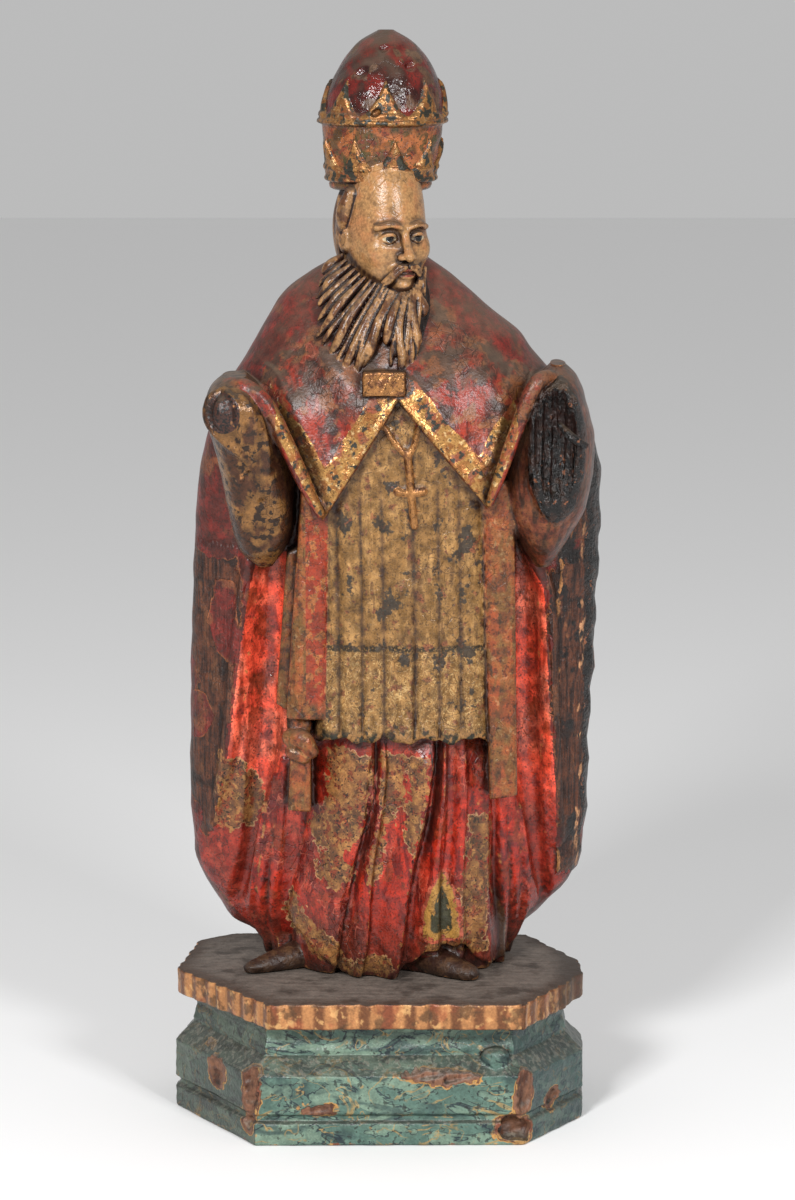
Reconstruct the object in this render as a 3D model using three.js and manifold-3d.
// A carved and painted wooden saint in papal dress, standing on a low moulded plinth.
// Millimetres, +Z up, the figure faces -Y, and the origin is the middle of the plinth's underside.
import * as THREE from "three";
import { mergeVertices } from "three/addons/utils/BufferGeometryUtils.js";
import Module from "manifold-3d";

const wasm = await Module();
wasm.setup();

// ---- Driving dimensions ----
const TOTAL_HEIGHT = 380;
const PLINTH_HEIGHT = 52;
const SEAT_GAP = 0.3; // the glue line between the plinth and the figure
const FIGURE_BASE = PLINTH_HEIGHT + SEAT_GAP;

// Plinth: an eight-sided block cut by hand, so no two corners match. Corners run anticlockwise.
const SLAB_CORNERS = [
  [-38, -51.5],
  [50, -51.5],
  [66, -20],
  [72, -5],
  [71, 12],
  [54, 50],
  [-52, 52],
  [-66, 42],
  [-72, -1],
];
const BASE_CORNERS = [
  [-43, -47],
  [50, -46],
  [71.5, -11],
  [72, 10],
  [54, 46],
  [-53, 48],
  [-66, 40],
  [-72.5, 4],
];
const BASE_PROFILE = [
  // height, how far the outline steps in: band, groove, fascia, sloping ledge, hollow neck
  [0, 0],
  [7.4, 0],
  [8.4, 1.4],
  [10.2, 1.4],
  [11.4, 0],
  [24.6, 0],
  [30, 5.2],
  [31.4, 6.2],
  [37, 7.2],
  [42.8, 5.4],
];
const SLAB_THICKNESS = 9.8;
const SLAB_ARRIS = 0.8;
const GOUGE_WIDTH = 7.6; // the upright gouge cuts along the slab's edge
const GOUGE_DEPTH = 1.1;
const GOUGE_STEPS = 3;

// Robes: one row for each height, giving the left, right, front and back of the outline.
const COPE_ROWS = [
  [58, -44, 47, 2, 37],
  [66, -52, 53, -1, 39],
  [76, -59, 63, -4, 40],
  [87, -65, 70, -7, 40],
  [100, -66, 72, -9, 39],
  [140, -66, 74, -11, 37],
  [180, -65, 75, -13, 35],
  [210, -64, 76, -18, 34],
  [232, -61, 75, -24, 33],
  [250, -57, 70, -27, 31],
  [264, -48, 58, -28, 28],
  [276, -41, 47, -25, 25],
  [286, -34, 35, -20, 22],
  [294, -25, 25, -15, 17],
  [300, -15, 17, -9, 12],
];
const CASSOCK_ROWS = [
  [FIGURE_BASE, -39, 44, -15, 34],
  [62, -38, 43, -16, 34],
  [84, -34, 42, -18, 33],
  [112, -31, 41, -22, 32],
  [142, -28, 39, -26, 31],
  [150, -26, 37, -26, 30],
];
const ROCHET_ROWS = [
  [138, -23, 40, -31, 20],
  [142, -23, 40, -31.5, 20],
  [170, -22.5, 39.5, -31, 20],
  [205, -22, 39, -30.5, 20],
  [232, -22, 38, -31.5, 20],
  [252, -18, 32, -31.5, 20],
  [264, -12, 25, -29, 20],
];
const COPE_SQUARENESS = 2.3;
const GOWN_SQUARENESS = 2.7;

// Head, tiara and beard
const HEAD_CENTRE = [2, -8];
const HEAD_TURN = THREE.MathUtils.degToRad(25);
const TIARA_RIM = 326;
const TIARA_ROWS = [
  // height, middle, radius
  [TIARA_RIM, 0.4, 16.4],
  [333, 1, 18.2],
  [343, 1, 20.2],
  [350, 1.4, 20.6],
  [358, 2, 19.6],
  [366, 2.3, 16.6],
  [373, 2.4, 11.8],
  [377.5, 2.4, 6.4],
  [TOTAL_HEIGHT, 2.4, 1.4],
];
const TIARA_DEPTH_SHARE = 0.94;
const CROWN_TIERS = [
  // foot, height of the band, height of the points, points around
  [327.5, 6, 15, 9],
  [348, 3.5, 14, 9],
];
const CROWN_RISE = 1.3;

// Sleeves
const LEFT_SLEEVE_ROWS = [
  // height, left, right, front, back
  [196.5, -45, -36, -22, -8],
  [202, -51, -31, -29, 0],
  [212, -56, -28, -34, 4],
  [228, -59.5, -28, -39, 6],
  [244, -62, -31, -44, 6],
  [254, -61.5, -36, -46.5, 4],
  [260, -58.5, -40, -43, 0],
  [264.5, -53, -44, -34, -8],
];
const RIGHT_SLEEVE_ROWS = [
  [196.5, 55, 65, -20, -6],
  [202, 51, 69, -28, 0],
  [214, 46, 73, -34, 4],
  [230, 42, 75, -39, 6],
  [246, 44, 75, -42, 6],
  [256, 48, 72, -42, 4],
  [263, 52, 68, -37, 0],
  [268, 56, 63, -28, -8],
];
const HAND_SOCKET = { centre: [-52.5, -50, 252.5], size: [5.4, 7, 7] }; // the broken stub fills it
const SLEEVE_HOLLOW = { centre: [60, -44, 238], size: [10, 13, 22] }; // left where the hand broke out

// ---- Solids ----

// The solid that a closed three.js geometry bounds.
function solidOf(geometry) {
  const bare = geometry.clone();
  bare.deleteAttribute("normal");
  bare.deleteAttribute("uv");
  const merged = mergeVertices(bare, 1e-4);
  const mesh = new wasm.Mesh({
    numProp: 3,
    vertProperties: merged.attributes.position.array,
    triVerts: new Uint32Array(merged.index.array),
  });
  return new wasm.Manifold(mesh);
}

// The geometry of a solid, ready for a THREE.Mesh.
function geometryOf(solid) {
  const mesh = solid.getMesh();
  const geometry = new THREE.BufferGeometry();
  geometry.setAttribute("position", new THREE.BufferAttribute(mesh.vertProperties, 3));
  geometry.setIndex(new THREE.BufferAttribute(mesh.triVerts, 1));
  geometry.computeVertexNormals();
  return geometry;
}

// A closed solid through rings of points, bottom ring first, each ring anticlockwise from above.
function loft(rings) {
  const positions = rings.flat(2);
  const around = rings[0].length;
  const faces = [];
  for (let level = 0; level + 1 < rings.length; level += 1) {
    for (let step = 0; step < around; step += 1) {
      const a = level * around + step;
      const b = level * around + ((step + 1) % around);
      faces.push(a, b, b + around, a, b + around, a + around);
    }
  }
  const capCentre = (ring) => {
    const sum = ring.reduce((total, p) => total.map((value, i) => value + p[i]), [0, 0, 0]);
    return sum.map((value) => value / ring.length);
  };
  const bottom = positions.length / 3;
  positions.push(...capCentre(rings[0]), ...capCentre(rings[rings.length - 1]));
  const topStart = (rings.length - 1) * around;
  for (let step = 0; step < around; step += 1) {
    const next = (step + 1) % around;
    faces.push(bottom, next, step);
    faces.push(bottom + 1, topStart + step, topStart + next);
  }
  const geometry = new THREE.BufferGeometry();
  geometry.setAttribute("position", new THREE.Float32BufferAttribute(positions, 3));
  geometry.setIndex(faces);
  return solidOf(geometry);
}

// All columns of a table of rows at one height, on a smooth curve through the rows.
function rowAt(rows, height) {
  let low = 0;
  while (low + 2 < rows.length && rows[low + 1][0] <= height) low += 1;
  const before = rows[Math.max(low - 1, 0)];
  const from = rows[low];
  const to = rows[low + 1];
  const after = rows[Math.min(low + 2, rows.length - 1)];
  const span = to[0] - from[0];
  const t = THREE.MathUtils.clamp((height - from[0]) / span, 0, 1);
  return from.map((value, i) => {
    const slopeIn = ((to[i] - before[i]) / (to[0] - before[0])) * span;
    const slopeOut = ((after[i] - value) / (after[0] - from[0])) * span;
    const t2 = t * t;
    const t3 = t2 * t;
    return (
      value * (2 * t3 - 3 * t2 + 1) +
      slopeIn * (t3 - 2 * t2 + t) +
      to[i] * (3 * t2 - 2 * t3) +
      slopeOut * (t3 - t2)
    );
  });
}

// Evenly spaced heights through a table of rows.
function heights(rows, count) {
  const low = rows[0][0];
  const high = rows[rows.length - 1][0];
  return Array.from({ length: count }, (_, i) => THREE.MathUtils.lerp(low, high, i / (count - 1)));
}

// A point of a rounded-square outline. push moves it out from the outline's middle.
function outlinePoint([height, left, right, front, back], angle, squareness, push = 0) {
  const power = 2 / squareness;
  const c = Math.cos(angle);
  const s = Math.sin(angle);
  const x = ((right - left) / 2) * Math.sign(c) * Math.abs(c) ** power;
  const y = ((back - front) / 2) * Math.sign(s) * Math.abs(s) ** power;
  const reach = Math.hypot(x, y) || 1;
  const grow = 1 + push / reach;
  return [(left + right) / 2 + x * grow, (front + back) / 2 + y * grow, height];
}

// Angles once around, starting at +X. A share of the points above 0.5 crowds them to the front.
function turns(count, shareInFront = 0.5) {
  const behind = Math.round(count * (1 - shareInFront));
  return Array.from({ length: count }, (_, i) =>
    i < behind
      ? (Math.PI * i) / behind
      : Math.PI * (1 + (i - behind) / (count - behind)),
  );
}

// A loft through a table of rows, with push(angle, height) for its folds.
function robe(rows, levels, angles, squareness, push) {
  return loft(
    levels.map((height) => {
      const row = rowAt(rows, height);
      return angles.map((angle) => outlinePoint(row, angle, squareness, push(angle, height)));
    }),
  );
}

// A rounded lump: a sphere stretched, turned about Z and placed.
function lump(centre, size, turn = 0, around = 16, up = 10) {
  const geometry = new THREE.SphereGeometry(1, around, up);
  geometry.rotateX(Math.PI / 2);
  geometry.scale(...size);
  geometry.rotateZ(turn);
  geometry.translate(...centre);
  return solidOf(geometry);
}

// A prism that runs from front to back with its outline drawn in X and Z.
function frontPrism(outline, front, back) {
  const shape = new THREE.Shape(outline.map(([x, z]) => new THREE.Vector2(x, z)));
  const geometry = new THREE.ExtrudeGeometry(shape, { depth: back - front, bevelEnabled: false });
  geometry.rotateX(Math.PI / 2);
  geometry.translate(0, back, 0);
  return solidOf(geometry);
}

// 0 below the first edge, 1 above the second, smooth between.
const rise = (from, to, value) => THREE.MathUtils.smoothstep(value, from, to);
// 1 at the front of the figure, 0 at its sides and back.
const frontShare = (angle) => Math.max(0, -Math.sin(angle));

// ---- Plinth ----

// A closed outline's corners moved in by inset, square to each side.
function insetOutline(outline, inset) {
  const corners = outline.map(([x, y]) => new THREE.Vector2(x, y));
  return corners.map((corner, i) => {
    const before = corners[(i + corners.length - 1) % corners.length];
    const after = corners[(i + 1) % corners.length];
    const inward = (from, to) => {
      const along = to.clone().sub(from).normalize();
      return new THREE.Vector2(-along.y, along.x);
    };
    const first = inward(before, corner);
    const second = inward(corner, after);
    const bisector = first.clone().add(second).normalize();
    return corner.clone().addScaledVector(bisector, inset / bisector.dot(first));
  });
}

// One ring around the slab, with gouge cuts of the given depth.
function gougedRing(height, inset, gouge) {
  const outline = insetOutline(SLAB_CORNERS, inset);
  return outline.flatMap((corner, i) => {
    const next = outline[(i + 1) % outline.length];
    const [from, to] = [SLAB_CORNERS[i], SLAB_CORNERS[(i + 1) % outline.length]];
    const length = Math.hypot(to[0] - from[0], to[1] - from[1]);
    const steps = Math.round(length / GOUGE_WIDTH) * GOUGE_STEPS;
    return Array.from({ length: steps }, (_, k) => {
      const point = corner.clone().lerp(next, k / steps);
      const cut = gouge * Math.sin((Math.PI * k) / GOUGE_STEPS) ** 2;
      point.setLength(point.length() - cut);
      return [point.x, point.y, height];
    });
  });
}

function makePlinth() {
  const base = loft(
    BASE_PROFILE.map(([height, inset]) =>
      insetOutline(BASE_CORNERS, inset).map((corner) => [corner.x, corner.y, height]),
    ),
  );
  const foot = PLINTH_HEIGHT - SLAB_THICKNESS;
  const slab = loft([
    gougedRing(foot, SLAB_ARRIS, GOUGE_DEPTH / 2),
    gougedRing(foot + SLAB_ARRIS, 0, GOUGE_DEPTH),
    gougedRing(PLINTH_HEIGHT - SLAB_ARRIS, 0, GOUGE_DEPTH),
    gougedRing(PLINTH_HEIGHT, SLAB_ARRIS, 0),
  ]);
  return base.add(slab);
}

// ---- Robes ----

// Broad hanging folds of the cope, deeper towards its hem and flat over the shoulders.
function copeFold(angle, height) {
  const hanging = 1 - rise(150, 265, height);
  const back = Math.max(0, Math.sin(angle));
  const backFolds = 2.6 * Math.cos(11 * angle) * (0.4 + 0.6 * back);
  const frontFolds = 1.4 * Math.cos(9 * angle + 0.02 * height) * frontShare(angle);
  return (backFolds + frontFolds) * hanging;
}

function makeCope() {
  const levels = [58, 64, 72, 82, 96, 125, 165, 205, 228, 245, 258, 268, 278, 287, 295, 300];
  return robe(COPE_ROWS, levels, turns(54), COPE_SQUARENESS, copeFold);
}

// Deep, slightly slanting folds of the cassock, from under the rochet to the hem.
function cassockFold(angle, height) {
  const deep = 1 - 0.6 * rise(90, 145, height);
  const slant = 0.006 * (height - PLINTH_HEIGHT);
  const wave = Math.sin(17 * (angle + slant));
  return 2.6 * deep * wave * (0.35 + 0.65 * frontShare(angle));
}

function makeCassock() {
  const body = robe(CASSOCK_ROWS, heights(CASSOCK_ROWS, 7), turns(52, 0.75), GOWN_SQUARENESS, cassockFold);
  const panel = frontPrism(
    [
      [-13, FIGURE_BASE],
      [8, FIGURE_BASE],
      [13, 90],
      [17, 132],
      [2, 132],
      [-6, 90],
    ],
    -20.5,
    10,
  );
  return body.add(panel);
}

// Fine upright pleats of the rochet.
function rochetPleat(angle, height) {
  const loose = 1 - 0.6 * rise(200, 255, height);
  return 0.9 * loose * Math.sin(22 * angle + 0.6) * frontShare(angle);
}

function makeRochet() {
  const levels = [138, 141, 165, 195, 225, 245, 264];
  return robe(ROCHET_ROWS, levels, turns(56, 0.88), GOWN_SQUARENESS, rochetPleat);
}

// The chest of the cope: it spreads from the clasp and hangs in two points over the rochet.
const CLASP_FOOT = [6.5, 257];
const LEFT_POINT = [-19, 215.5];
const RIGHT_POINT = [37, 219.5];
const LEFT_FOREARM = [-41, 259];
const RIGHT_FOREARM = [54, 264.5];
const CHEST_ROWS = [
  [205, -50, 62, -33.5, 20],
  [222, -50, 62, -35, 20],
  [240, -49, 60, -36, 20],
  [256, -46, 56, -35, 20],
  [268, -41, 50, -31.5, 20],
  [280, -33, 38, -24, 20],
  [290, -24, 27, -17, 16],
];
const BAND_WIDTH = 8.8;
const BAND_RISE = 1.2;

function makeChest() {
  const noFold = () => 0;
  const levels = heights(CHEST_ROWS, 8);
  const angles = turns(30, 0.75);
  const cloth = robe(CHEST_ROWS, levels, angles, COPE_SQUARENESS, noFold);
  const bands = robe(CHEST_ROWS, levels, angles, COPE_SQUARENESS, () => BAND_RISE);
  const top = 289;
  const outline = [LEFT_POINT, CLASP_FOOT, RIGHT_POINT, RIGHT_FOREARM, [40, top], [-30, top], LEFT_FOREARM];
  const cape = frontPrism(outline, -60, 5).intersect(cloth);
  const strip = (from, to) => {
    const along = new THREE.Vector2(to[0] - from[0], to[1] - from[1]).normalize();
    const side = [-along.y * BAND_WIDTH, along.x * BAND_WIDTH];
    return frontPrism(
      [from, to, [to[0] + side[0], to[1] + side[1]], [from[0] + side[0], from[1] + side[1]]],
      -60,
      5,
    ).intersect(bands);
  };
  return cape
    .add(strip(LEFT_POINT, CLASP_FOOT))
    .add(strip(CLASP_FOOT, RIGHT_POINT))
    .add(strip(RIGHT_POINT, RIGHT_FOREARM))
    .add(strip(LEFT_FOREARM, LEFT_POINT));
}

// The stole: two flat bands that hang from under the chest, the left one knotted at its end.
function makeStole() {
  const leftBand = frontPrism(
    [
      [-30, 148],
      [-20, 148],
      [-18, 225],
      [-26, 225],
    ],
    -30,
    5,
  );
  const rightBand = frontPrism(
    [
      [39, 119],
      [47, 119],
      [47, 228],
      [38, 228],
    ],
    -25,
    5,
  );
  const tail = frontPrism(
    [
      [-31, 113],
      [-23, 113],
      [-22, 150],
      [-29, 150],
    ],
    -27.5,
    5,
  );
  const knot = lump([-26.5, -27, 136.5], [5.2, 4.5, 5.4], 0, 10, 6);
  return leftBand.add(rightBand).add(tail).add(knot);
}

// The bishop's cross on its cord, and the clasp under the beard.
function makeOrnaments() {
  const bar = (outline, front) => frontPrism(outline, front, -20);
  const upright = bar(
    [
      [10, 212],
      [12.8, 212],
      [11.2, 240],
      [8.6, 240],
    ],
    -34.8,
  );
  const arms = bar(
    [
      [5.5, 223],
      [16, 223],
      [16, 226.8],
      [5.5, 226.8],
    ],
    -34.4,
  );
  const cordLeft = bar(
    [
      [8.6, 238],
      [10.4, 239.5],
      [4.4, 248],
      [2.6, 247],
    ],
    -34.6,
  );
  const cordRight = bar(
    [
      [9.4, 239.5],
      [11.2, 238],
      [14.8, 247],
      [13, 248],
    ],
    -34.6,
  );
  const clasp = bar(
    [
      [-5.5, 260],
      [9, 260],
      [9.5, 268],
      [-5, 268],
    ],
    -36.4,
  );
  return upright.add(arms).add(cordLeft).add(cordRight).add(clasp);
}

// ---- Sleeves ----

function makeSleeves() {
  const crease = (angle, height) => 0.5 * Math.sin(5 * angle + 0.09 * height);
  const sleeve = (rows) => robe(rows, heights(rows, 10), turns(24, 0.6), 2.1, crease);
  const left = sleeve(LEFT_SLEEVE_ROWS);
  const right = sleeve(RIGHT_SLEEVE_ROWS);
  const socket = lump(HAND_SOCKET.centre, HAND_SOCKET.size, 0, 14, 8);
  const hollow = lump(SLEEVE_HOLLOW.centre, SLEEVE_HOLLOW.size, 0, 16, 10);
  return { cloth: left.add(right), cuts: socket.add(hollow) };
}

// ---- Head ----

const HEAD_ROWS = [
  [284, -8, 8, -9, 11],
  [290, -11, 11, -14, 13],
  [298, -13, 13, -16, 15],
  [308, -14, 14, -16.5, 17],
  [318, -15, 15, -16.5, 17.5],
  [328, -15, 15, -16, 17],
];
const HAIR_ROWS = [
  [290, -12, 12, 0, 16],
  [300, -15.5, 15.5, -1, 19],
  [314, -17, 17, -3, 20],
  [328, -16.5, 16.5, -4, 18.5],
];

function makeHead() {
  const noFold = () => 0;
  const curl = (angle, height) => 0.5 * Math.sin(14 * angle + 0.4 * height);
  const skull = robe(HEAD_ROWS, heights(HEAD_ROWS, 7), turns(20), 2.1, noFold);
  const hair = robe(HAIR_ROWS, heights(HAIR_ROWS, 6), turns(28, 0.3), 2.1, curl);
  const nose = lump([0, -16.5, 307], [2.2, 3, 5], 0, 8, 6);
  return skull
    .add(nose)
    .add(hair)
    .rotate([0, 0, THREE.MathUtils.radToDeg(HEAD_TURN)])
    .translate([HEAD_CENTRE[0], HEAD_CENTRE[1], 0]);
}

// One lock of the forked beard: rings that shrink and slide from the jaw to the tip.
function beardLock({ top, tip, width, depth, ridges }) {
  const rings = heights([[tip[2]], [top[2]]], 8).map((height) => {
    const t = (height - tip[2]) / (top[2] - tip[2]);
    const swell = 0.22 + 0.78 * Math.sin((Math.PI / 2) * Math.min(1, t * 1.35));
    const around = 18;
    return Array.from({ length: around }, (_, i) => {
      const angle = (i / around) * 2 * Math.PI;
      const flute = 1 + 0.07 * Math.cos(ridges * angle + 2 * t);
      return [
        THREE.MathUtils.lerp(tip[0], top[0], t) + width * swell * flute * Math.cos(angle),
        THREE.MathUtils.lerp(tip[1], top[1], t) + depth * swell * flute * Math.sin(angle),
        height,
      ];
    });
  });
  return loft(rings);
}

function makeBeard() {
  const left = beardLock({ top: [-3, -12, 300], tip: [-9, -30, 262], width: 11, depth: 9, ridges: 7 });
  const right = beardLock({ top: [8, -14, 300], tip: [8.5, -31, 264], width: 8.5, depth: 8, ridges: 6 });
  return left.add(right);
}

// The domed tiara with its two raised crowns of points.
function makeTiara() {
  const levels = [326, 328, 333.5, 337, 340, 343, 346.5, 349, 352, 355, 358.5, 362, 367, 373, 377, 380];
  const around = 45;
  const crownRise = (angle, height) => {
    const lifts = CROWN_TIERS.map(([foot, band, points, count]) => {
      const tooth = Math.abs(Math.cos((count * angle) / 2));
      const edge = foot + band + (points - band) * tooth;
      return rise(foot - 1, foot, height) * (1 - rise(edge - 0.8, edge + 1.2, height));
    });
    return CROWN_RISE * Math.max(...lifts);
  };
  return loft(
    levels.map((height) => {
      const [, middle, radius] = rowAt(TIARA_ROWS, height);
      return Array.from({ length: around }, (_, i) => {
        const angle = (i / around) * 2 * Math.PI;
        const reach = radius + crownRise(angle, height);
        return [middle + reach * Math.cos(angle), TIARA_DEPTH_SHARE * reach * Math.sin(angle), height];
      });
    }),
  );
}

// ---- Shoes ----

function makeShoes() {
  const shoe = (x, y, turn) => {
    const sole = lump([x, y, FIGURE_BASE + 2], [14, 6, 6.5], turn, 14, 8);
    const ground = frontPrism(
      [
        [-80, FIGURE_BASE],
        [80, FIGURE_BASE],
        [80, FIGURE_BASE + 20],
        [-80, FIGURE_BASE + 20],
      ],
      -60,
      60,
    );
    return sole.intersect(ground);
  };
  const outward = THREE.MathUtils.degToRad(35);
  return shoe(-34, -4, outward).add(shoe(22, -14, -outward));
}

// ---- Assembly ----

function makeFigure() {
  const sleeves = makeSleeves();
  const pieces = [
    makeCassock(),
    makeRochet(),
    makeChest(),
    makeStole(),
    makeOrnaments(),
    sleeves.cloth,
    makeHead(),
    makeBeard(),
    makeTiara(),
    makeShoes(),
  ];
  const whole = pieces.reduce((sum, piece) => sum.add(piece), makeCope());
  return whole.subtract(sleeves.cuts);
}

function namedMesh(name, solid, colour, roughness) {
  const material = new THREE.MeshStandardMaterial({ color: colour, roughness, metalness: 0 });
  const mesh = new THREE.Mesh(geometryOf(solid), material);
  mesh.name = name;
  return mesh;
}

const statue = new THREE.Group();
statue.add(namedMesh("plinth", makePlinth(), 0x3f6257, 0.4));
statue.add(namedMesh("saint_figure", makeFigure(), 0x9c3a26, 0.35));

export default statue;
